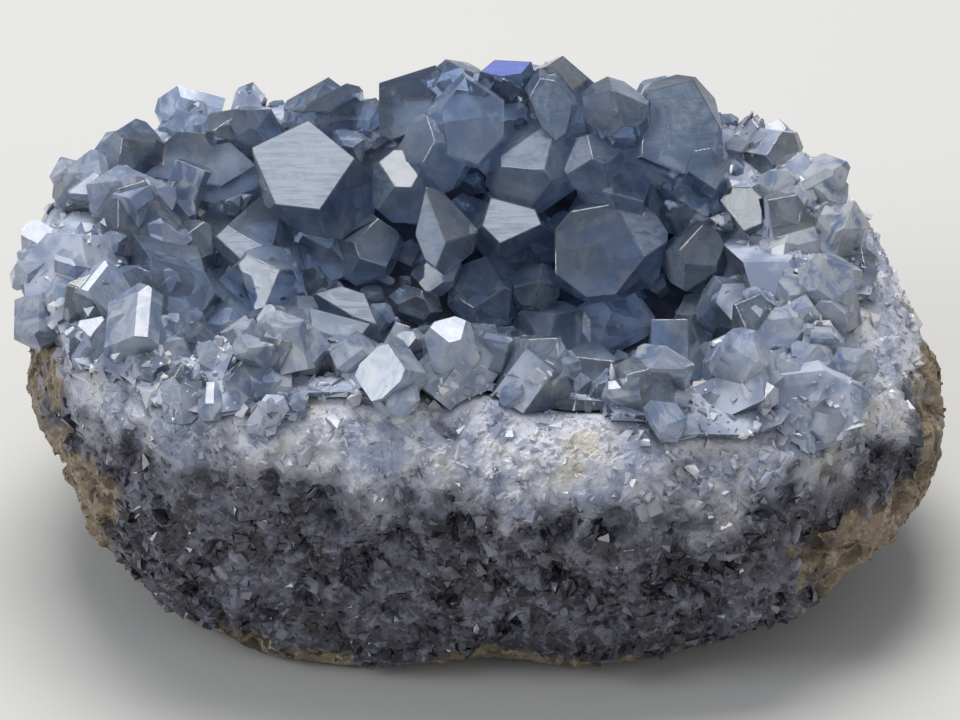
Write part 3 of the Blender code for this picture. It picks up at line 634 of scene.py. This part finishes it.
def buildWall():
    holder = newObject("holder", meshOf("wallRock", wallShape.copy()))
    divided = holder.modifiers.new("divided", "SUBSURF")
    divided.levels = divided.render_levels = wallLook["fineness"]
    mesh = evaluatedMesh(holder)
    covered = []
    pits = wallLook["pits"]
    normals = [vertex.normal.copy() for vertex in mesh.vertices]
    for vertex, normal in zip(mesh.vertices, normals):
        place = vertex.co / mm
        gap = crustTree.find_nearest(vertex.co)[3] / mm
        covered.append(1 - eased(gap, *wallLook["hiddenUnder"]))
        pit = eased(noise.noise(place / pits["size"]), *pits["share"])
        push = -pits["depth"] * pit * (1 - paleAndRind(vertex.co)[0])
        for size, height in wallLook["chips"]:
            push += height * chipHeight(place, size)
        push *= eased(gap, *wallLook["calmUnder"]) * eased(place.z, *wallLook["calmFoot"])
        vertex.co += normal * push * mm
        vertex.co.z = max(vertex.co.z, 0.0)
    storeOnPoints(mesh, "covered", covered)
    storeZones(mesh)
    mesh.shade_flat()
    finish = rockFinish("brokenWall", False, wallLook["shine"], wallLook["grit"])
    piece = newObject("wallRock", mesh, finish)
    declare(piece, "granular_rock", "geode_wall")
    return piece


def coverOfWall(wall, share):  # a copy of the wall with how densely pieces lie on it
    mesh = wall.data.copy()
    zones = [[item.value for item in mesh.attributes[name].data] for name in ("covered", "pale", "rind")]
    values = []
    for vertex, covered, pale, rind in zip(mesh.vertices, *zones):
        foot = eased(vertex.co.z / mm, *wallLook["bareFoot"])
        values.append(foot * (1 - covered) * share(pale, rind))
    storeOnPoints(mesh, "cover", values)
    return mesh


chunkLook = dict(
    Spacing=1.35 * mm, Most=8e5, Seed=4, Smallest=1.4 * mm, Largest=6.0 * mm, Rarity=2.6,
    Sink=0.2, Lean=math.pi, shareOnPale=0.3,
)
sugarLook = dict(
    Spacing=1.15 * mm, Most=1.2e6, Seed=9, Smallest=1.2 * mm, Largest=5.0 * mm, Rarity=2.6,
    Sink=0.25, Lean=math.pi,
)
gritLook = dict(
    Spacing=1.15 * mm, Most=1.2e6, Seed=21, Smallest=0.7 * mm, Largest=2.3 * mm, Rarity=3.0,
    Sink=0.2, Lean=math.pi,
)


def buildGrains(wall):
    rng = random.Random(3)
    shards = [brokenChunk(rng, 9, rng.uniform(0.75, 1.0)) for _ in range(10)]
    crumbs = [brokenChunk(rng, 7, rng.uniform(0.6, 1.0)) for _ in range(8)]
    grits = [brokenChunk(rng, 6, rng.uniform(0.5, 1.0)) for _ in range(8)]
    grainFinish = rockFinish("crystalGrains", True, shine=0.12)
    gritFinish = rockFinish("rindGrit", True, shine=0.5, grit=0.3)
    fewer = 1 - chunkLook["shareOnPale"]
    makes = (
        ("wallChunks", shards, grainFinish, chunkLook, lambda pale, rind: (1 - rind) * (1 - fewer * pale)),
        ("paleSugar", crumbs, grainFinish, sugarLook, lambda pale, rind: pale * (1 - rind)),
        ("rindCrumbs", grits, gritFinish, gritLook, lambda pale, rind: rind),
    )
    for name, shapes, finish, settings, share in makes:
        piece = scattered(name, coverOfWall(wall, share), shapes, finish, settings)
        storeZones(piece.data)
        declare(piece, "granular_rock")


# the crust: large crystals with softened edges, and small ones between them

# Faces that stand out, by where each is seen. The frost on each is 0 for a clear one to 1 for a white one,
# and a face with less than leastStriated is kept clear.
shownFaces = (
    dict(across=-35.1, up=74.4, frost=0.80),
    dict(across=-45.2, up=57.8, frost=0.85),
    dict(across=5.3, up=62.7, frost=0.80),
    dict(across=-9.4, up=61.3, frost=0.60),
    dict(across=-26.9, up=46.7, frost=0.70),
    dict(across=-46.2, up=42.5, frost=0.60),
    dict(across=-19.5, up=39.7, frost=0.75),
    dict(across=-15.4, up=40.3, frost=0.40),
    dict(across=-6.6, up=38.9, frost=0.25),
    dict(across=-31.6, up=36.0, frost=0.15),
    dict(across=43.9, up=31.0, frost=0.45),
    dict(across=51.3, up=32.9, frost=0.60),
    dict(across=36.0, up=80.2, frost=0.18),
    dict(across=-52.0, up=74.0, frost=0.10),
    dict(across=-1.6, up=83.2, frost=0.08),
    dict(across=13.6, up=84.5, frost=0.20),
    dict(across=24.6, up=57.8, frost=0.06),
    dict(across=-75.4, up=52.9, frost=0.20),
    dict(across=-66.3, up=64.0, frost=0.10),
    dict(across=62.0, up=27.0, frost=0.10),
    dict(across=5.1, up=93.1, frost=0.0, cobalt=0.8),
)
crustLook = dict(
    flatWithin=math.radians(0.6),  # faces that turn less than this are one
    edgeWidth=0.16,  # of the softened edges, in millimetres
    edgeRise=0.06,
    smallestFacet=1.6,  # square millimetres
    frostyShare=0.05,
    frost=(0.4, 0.8),
    leastStriated=0.12,  # faces with less frost than this are clear
    sugared=0.25,  # where the rim's sugar lies at least this thick, its ground is as pale
    sugaredLevel=0.3,
    paintedShadeBelow=13.0,  # this far below the crest the roots between the crystals are painted dark, as painted shade in the deep hollow
    seamShare=0.2,  # of the edges at the left, which brown seams follow
    seamsUpTo=-30.0,
    seamDepth=0.8,
    hiddenWithin=1.2,  # nearer than this to the wall is its back side
    liningWithin=5.2,  # nearer than this to the wall and level with it is the grown-together roots
    liningLevel=0.75,
)
crustFinishes = ("clear", "roots", "striated", "paintedShadeGaps", "rim")
whiteLook = dict(  # how pale the crystals are, by ranges as in wallZones
    front=dict(y=(10.0, 32.0), share=0.5),
    right=dict(x=(40.0, 62.0), y=(-15.0, 10.0), leastShare=0.55),
    left=dict(x=(60.0, 80.0), share=0.4),
    speck=dict(size=7.0, share=0.3),
)


def isLining(face, level=crustLook["liningLevel"]):
    place = face.calc_center_median()
    _, normal, _, distance = wallTree.find_nearest(place)
    return distance / mm < crustLook["liningWithin"] and face.normal.dot(normal) > level


def isSugared(face):  # the roots and the low sides of crystals, where sugar can lie
    return isLining(face, crustLook["sugaredLevel"])


def whitening(place):
    look = whiteLook
    x, y, _ = place / mm
    least = look["right"]["leastShare"]
    front = look["front"]["share"] * eased(-y, *look["front"]["y"])
    right = eased(x, *look["right"]["x"]) * (least + (1 - least) * eased(y, *look["right"]["y"]))
    left = look["left"]["share"] * eased(-x, *look["left"]["x"])
    speck = look["speck"]["share"] * noise.noise(place / mm / look["speck"]["size"])
    return max(0.0, min(1.0, max(front, right, left) + speck))


def storeWhitening(mesh):
    storeOnPoints(mesh, "whiten", [whitening(vertex.co) for vertex in mesh.vertices])


def isHidden(face):  # on the side towards the wall
    _, normal, _, distance = wallTree.find_nearest(face.calc_center_median())
    return distance / mm < crustLook["hiddenWithin"] and face.normal.dot(normal) < 0


def markShownFaces(bm, layers):
    bm.faces.ensure_lookup_table()
    tree = BVHTree.FromBMesh(bm)
    for shown in shownFaces:
        index = seenAt(tree, shown)[2]
        if index is not None:
            face = bm.faces[index]
            face[layers["frost"]] = shown["frost"]
            face[layers["cobalt"]] = shown.get("cobalt", 0.0)


def rootKind(face):  # which finish a face has that isn't a crystal's own, or none
    place = face.calc_center_median()
    if isHidden(face):
        return "roots"
    if isSugared(face) and rimSugarCover(place / mm) > crustLook["sugared"]:
        return "rim"
    # deep in the hollow the roots get painted shade
    if isLining(face) and depthBelowCrest(place) > crustLook["paintedShadeBelow"]:
        return "paintedShadeGaps"
    return None


def buildCrust(clear, striated):
    rng = random.Random(17)
    bm = crustShape.copy()
    layers = {name: bm.faces.layers.float.new(name) for name in ("frost", "edge", "seam", "cobalt")}
    bmesh.ops.dissolve_limit(
        bm, angle_limit=crustLook["flatWithin"], verts=bm.verts[:], edges=bm.edges[:],
        use_dissolve_boundaries=False,
    )
    bm.normal_update()
    crystalFaces = []
    for face in bm.faces:
        kind = rootKind(face)
        if kind:
            face.material_index = crustFinishes.index(kind)
            continue
        if rng.random() < crustLook["frostyShare"]:
            face[layers["frost"]] = rng.uniform(*crustLook["frost"])
        if face.calc_area() / mm**2 > crustLook["smallestFacet"] and not isLining(face):
            crystalFaces.append(face)
    markShownFaces(bm, layers)
    for face in bm.faces:
        marked = face[layers["frost"]] > crustLook["leastStriated"] or face[layers["cobalt"]] > 0
        if marked and crustFinishes[face.material_index] == "clear":
            face.material_index = crustFinishes.index("striated")
    rings = bmesh.ops.inset_individual(
        bm, faces=crystalFaces, thickness=crustLook["edgeWidth"] * mm,
        depth=crustLook["edgeRise"] * mm, use_even_offset=True,
    )["faces"]
    for face in rings:
        across = face.calc_center_median().x / mm
        # marks the ring, which the crystal finish paints paler as a painted highlight
        face[layers["edge"]] = 1.0
        face.material_index = crustFinishes.index("clear")
        seamed = across < crustLook["seamsUpTo"] and rng.random() < crustLook["seamShare"]
        face[layers["seam"]] = crustLook["seamDepth"] if seamed else 0.0
    mesh = meshOf("crystalCrust", bm)
    storeWhitening(mesh)
    finishes = dict(clear=clear, striated=striated)
    for name in crustFinishes:
        mesh.materials.append(finishes.get(name) or rootFinish(name))
    piece = newObject("crystalCrust", mesh)
    declare(piece, "celestine", "crystal_crust")


def crustSurface(cover, isKept):  # part of the crust, with how densely pieces lie on it
    bm = crustShape.copy()
    bm.normal_update()
    others = [face for face in bm.faces if not isKept(face)]
    bmesh.ops.delete(bm, geom=others, context="FACES")
    mesh = meshOf("surface", bm)
    storeOnPoints(mesh, "cover", [cover(vertex.co / mm) for vertex in mesh.vertices])
    return mesh


# The ranges under the first two lines of each say where it lies, as in wallZones.
smallCrystalLook = dict(
    Spacing=2.8 * mm, Most=2.6e5, Seed=31, Smallest=2.6 * mm, Largest=9.5 * mm, Rarity=1.8,
    Sink=0.32, Lean=0.6,
    everywhere=0.3, rim=dict(below=(2.0, 16.0), share=0.6), right=dict(x=(30.0, 52.0), share=0.7),
    front=dict(y=(16.0, 30.0), fewer=0.7), bareLeft=(68.0, 79.0),
)
overgrowthLook = dict(
    Spacing=5.4 * mm, Most=4.5e4, Seed=43, Smallest=4.2 * mm, Largest=11.0 * mm, Rarity=1.5,
    Sink=0.55, Lean=0.8,
    front=(12.0, 24.0), right=dict(x=(40.0, 56.0), share=0.5), left=dict(x=(48.0, 64.0), share=0.6),
)
rimSugarLook = dict(
    Spacing=1.1 * mm, Most=1.3e6, Seed=35, Smallest=1.3 * mm, Largest=5.0 * mm, Rarity=2.4,
    Sink=0.18, Lean=math.pi,
    uneven=dict(size=6.0, height=4.0), front=dict(y=(12.0, 26.0), below=(4.0, 12.0)),
    right=dict(x=(44.0, 60.0), below=(6.0, 20.0), share=0.8), crest=dict(below=(0.5, 6.0), share=0.5),
    paleness=0.85, shine=0.1,
)


def smallCrystalCover(place):
    look = smallCrystalLook
    rim = look["rim"]["share"] * (1 - eased(depthBelowCrest(place * mm), *look["rim"]["below"]))
    right = look["right"]["share"] * eased(place.x, *look["right"]["x"])
    front = 1 - look["front"]["fewer"] * eased(-place.y, *look["front"]["y"])
    return max(look["everywhere"], rim, right) * front * (1 - eased(-place.x, *look["bareLeft"]))


def overgrowthCover(place):
    look = overgrowthLook
    front = eased(-place.y, *look["front"])
    right = look["right"]["share"] * eased(place.x, *look["right"]["x"])
    left = look["left"]["share"] * eased(-place.x, *look["left"]["x"])
    return max(front, right, left)


def rimSugarCover(place):
    look = rimSugarLook
    uneven = look["uneven"]["height"] * noise.noise(place / look["uneven"]["size"])
    below = depthBelowCrest(place * mm) + uneven
    front = eased(-place.y, *look["front"]["y"]) * (1 - eased(below, *look["front"]["below"]))
    right = eased(place.x, *look["right"]["x"]) * (1 - eased(below, *look["right"]["below"]))
    crest = (1 - eased(below, *look["crest"]["below"])) * look["crest"]["share"]
    return max(front, right * look["right"]["share"], crest)


def buildSmallCrystals(finish):
    rng = random.Random(12)
    shapes = [blockCrystal(rng) for _ in range(10)]
    surface = crustSurface(smallCrystalCover, isLining)
    piece = scattered("smallCrystals", surface, shapes, finish, smallCrystalLook)
    storeWhitening(piece.data)
    declare(piece, "celestine")


def buildOvergrowth(finish):  # corners of crystals that grow out of the large ones
    rng = random.Random(19)
    shapes = [blockCrystal(rng) for _ in range(10)]
    surface = crustSurface(overgrowthCover, lambda face: not (isLining(face) or isHidden(face)))
    piece = scattered("overgrowth", surface, shapes, finish, overgrowthLook)
    storeWhitening(piece.data)
    declare(piece, "celestine")


# Blocks on the crest at the back: where each is seen, how far it is let down and its width, in millimetres.
crestBlocks = (
    dict(across=-30.5, up=82.6, drop=4.0, width=14.0, turned=(-0.25, 0.12, 0.35)),
    dict(across=-42.0, up=80.5, drop=1.5, width=9.0, turned=(-0.3, -0.3, 1.0)),
    dict(across=-21.0, up=83.0, drop=0.5, width=8.0, turned=(0.1, 0.3, 0.6)),
)


def buildCrestBlocks(finish):
    rng = random.Random(27)
    joined = bmesh.new()
    for block in crestBlocks:
        place = seenAt(crustTree, block)[0] - Vector((0, 0, block["drop"])) * mm
        turned = Euler(block["turned"]).to_matrix().to_4x4()
        shape = blockCrystal(rng)
        shape.transform(Matrix.Translation(place) @ turned @ Matrix.Scale(block["width"] * mm, 4))
        mesh = meshOf("block", shape)
        joined.from_mesh(mesh)
        bpy.data.meshes.remove(mesh)
    mesh = meshOf("crestBlocks", joined)
    storeWhitening(mesh)
    declare(newObject("crestBlocks", mesh, finish), "celestine")


def buildRimSugar(finish):
    rng = random.Random(14)
    shapes = [brokenChunk(rng, 8, rng.uniform(0.6, 0.95)) for _ in range(9)]
    surface = crustSurface(rimSugarCover, isSugared)
    piece = scattered("rimSugar", surface, shapes, finish, rimSugarLook)
    storeOnPoints(piece.data, "pale", [rimSugarLook["paleness"]] * len(piece.data.vertices))
    declare(piece, "granular_rock")


# the studio: pale floor, soft lights, and the camera

studio = dict(
    floorSize=6.0,
    floorColour=(0.66, 0.65, 0.63),
    skyColour=(0.86, 0.90, 0.96),
    skyStrength=0.36,
    cameraDistance=1.2,
    sensor=36.0,
    bounces=dict(max=9, transmission=9, diffuse=1, glossy=3),  # light passes a few crystals and no more
    lights=(
        dict(name="overhead", at=(-0.05, 0.38, 1.15), size=0.7, power=12.0, colour=(1.0, 0.99, 0.97)),
        dict(name="left", at=(-1.0, -0.45, 0.75), size=0.5, power=5.0, colour=(0.94, 0.97, 1.0)),
        dict(name="right", at=(0.95, -0.75, 0.6), size=0.5, power=1.2, colour=(1.0, 0.98, 0.95)),
    ),
)


def buildStudio():
    bm = bmesh.new()
    bmesh.ops.create_grid(bm, x_segments=1, y_segments=1, size=studio["floorSize"] / 2)
    material, sheet = newMaterial("paleFloor")
    mottled = sheet.cloud(sheet.place(), 30 * mm, 2.0) * 0.03 + 0.6
    finishShader(sheet, {"Base Color": (*studio["floorColour"], 1.0), "Roughness": mottled})
    floor = newObject("floor", meshOf("floor", bm), material)
    for spec in studio["lights"]:
        light = bpy.data.lights.new(spec["name"], "AREA")
        light.size = spec["size"]
        light.energy = spec["power"]
        light.color = spec["colour"]
        lamp = bpy.data.objects.new(spec["name"], light)
        lamp.location = spec["at"]
        lamp.rotation_euler = (-Vector(spec["at"])).to_track_quat("-Z", "Y").to_euler()
        bpy.context.scene.collection.objects.link(lamp)
    sky = bpy.context.scene.world or bpy.data.worlds.new("sky")
    bpy.context.scene.world = sky
    sky.use_nodes = True
    backdrop = sky.node_tree.nodes["Background"]
    backdrop.inputs["Color"].default_value = (*studio["skyColour"], 1.0)
    backdrop.inputs["Strength"].default_value = studio["skyStrength"]


def limitBounces():
    for kind, most in studio["bounces"].items():
        setattr(bpy.context.scene.cycles, f"{kind}_bounces", most)


def buildCamera():
    camera = bpy.data.cameras.new("camera")
    wide = imageWide / pixelsPerMm * mm
    camera.sensor_width = studio["sensor"]
    camera.lens = studio["sensor"] * studio["cameraDistance"] / wide
    camera.clip_start = 0.1
    aimed = viewUp * ((originRow - middleRow) / pixelsPerMm) * mm
    holder = bpy.data.objects.new("camera", camera)
    holder.location = aimed + viewFrom * studio["cameraDistance"]
    holder.rotation_euler = (math.pi / 2 - viewRise, 0.0, 0.0)
    bpy.context.scene.collection.objects.link(holder)
    bpy.context.scene.camera = holder


buildStudio()
buildCamera()
limitBounces()
bpy.context.scene.view_settings.view_transform = "Standard"
print("studio ready")
wall = buildWall()
buildGrains(wall)
print("wall ready")
clearCrystal, hazyCrystal = crystalFinish("clearCrystal"), crystalFinish("hazyCrystal")
buildCrust(clearCrystal, crystalFinish("striatedCrystal"))
buildSmallCrystals(hazyCrystal)
buildOvergrowth(hazyCrystal)
buildCrestBlocks(clearCrystal)
buildRimSugar(rockFinish("rimSugarGrains", True, rimSugarLook["shine"]))
print("crust ready")
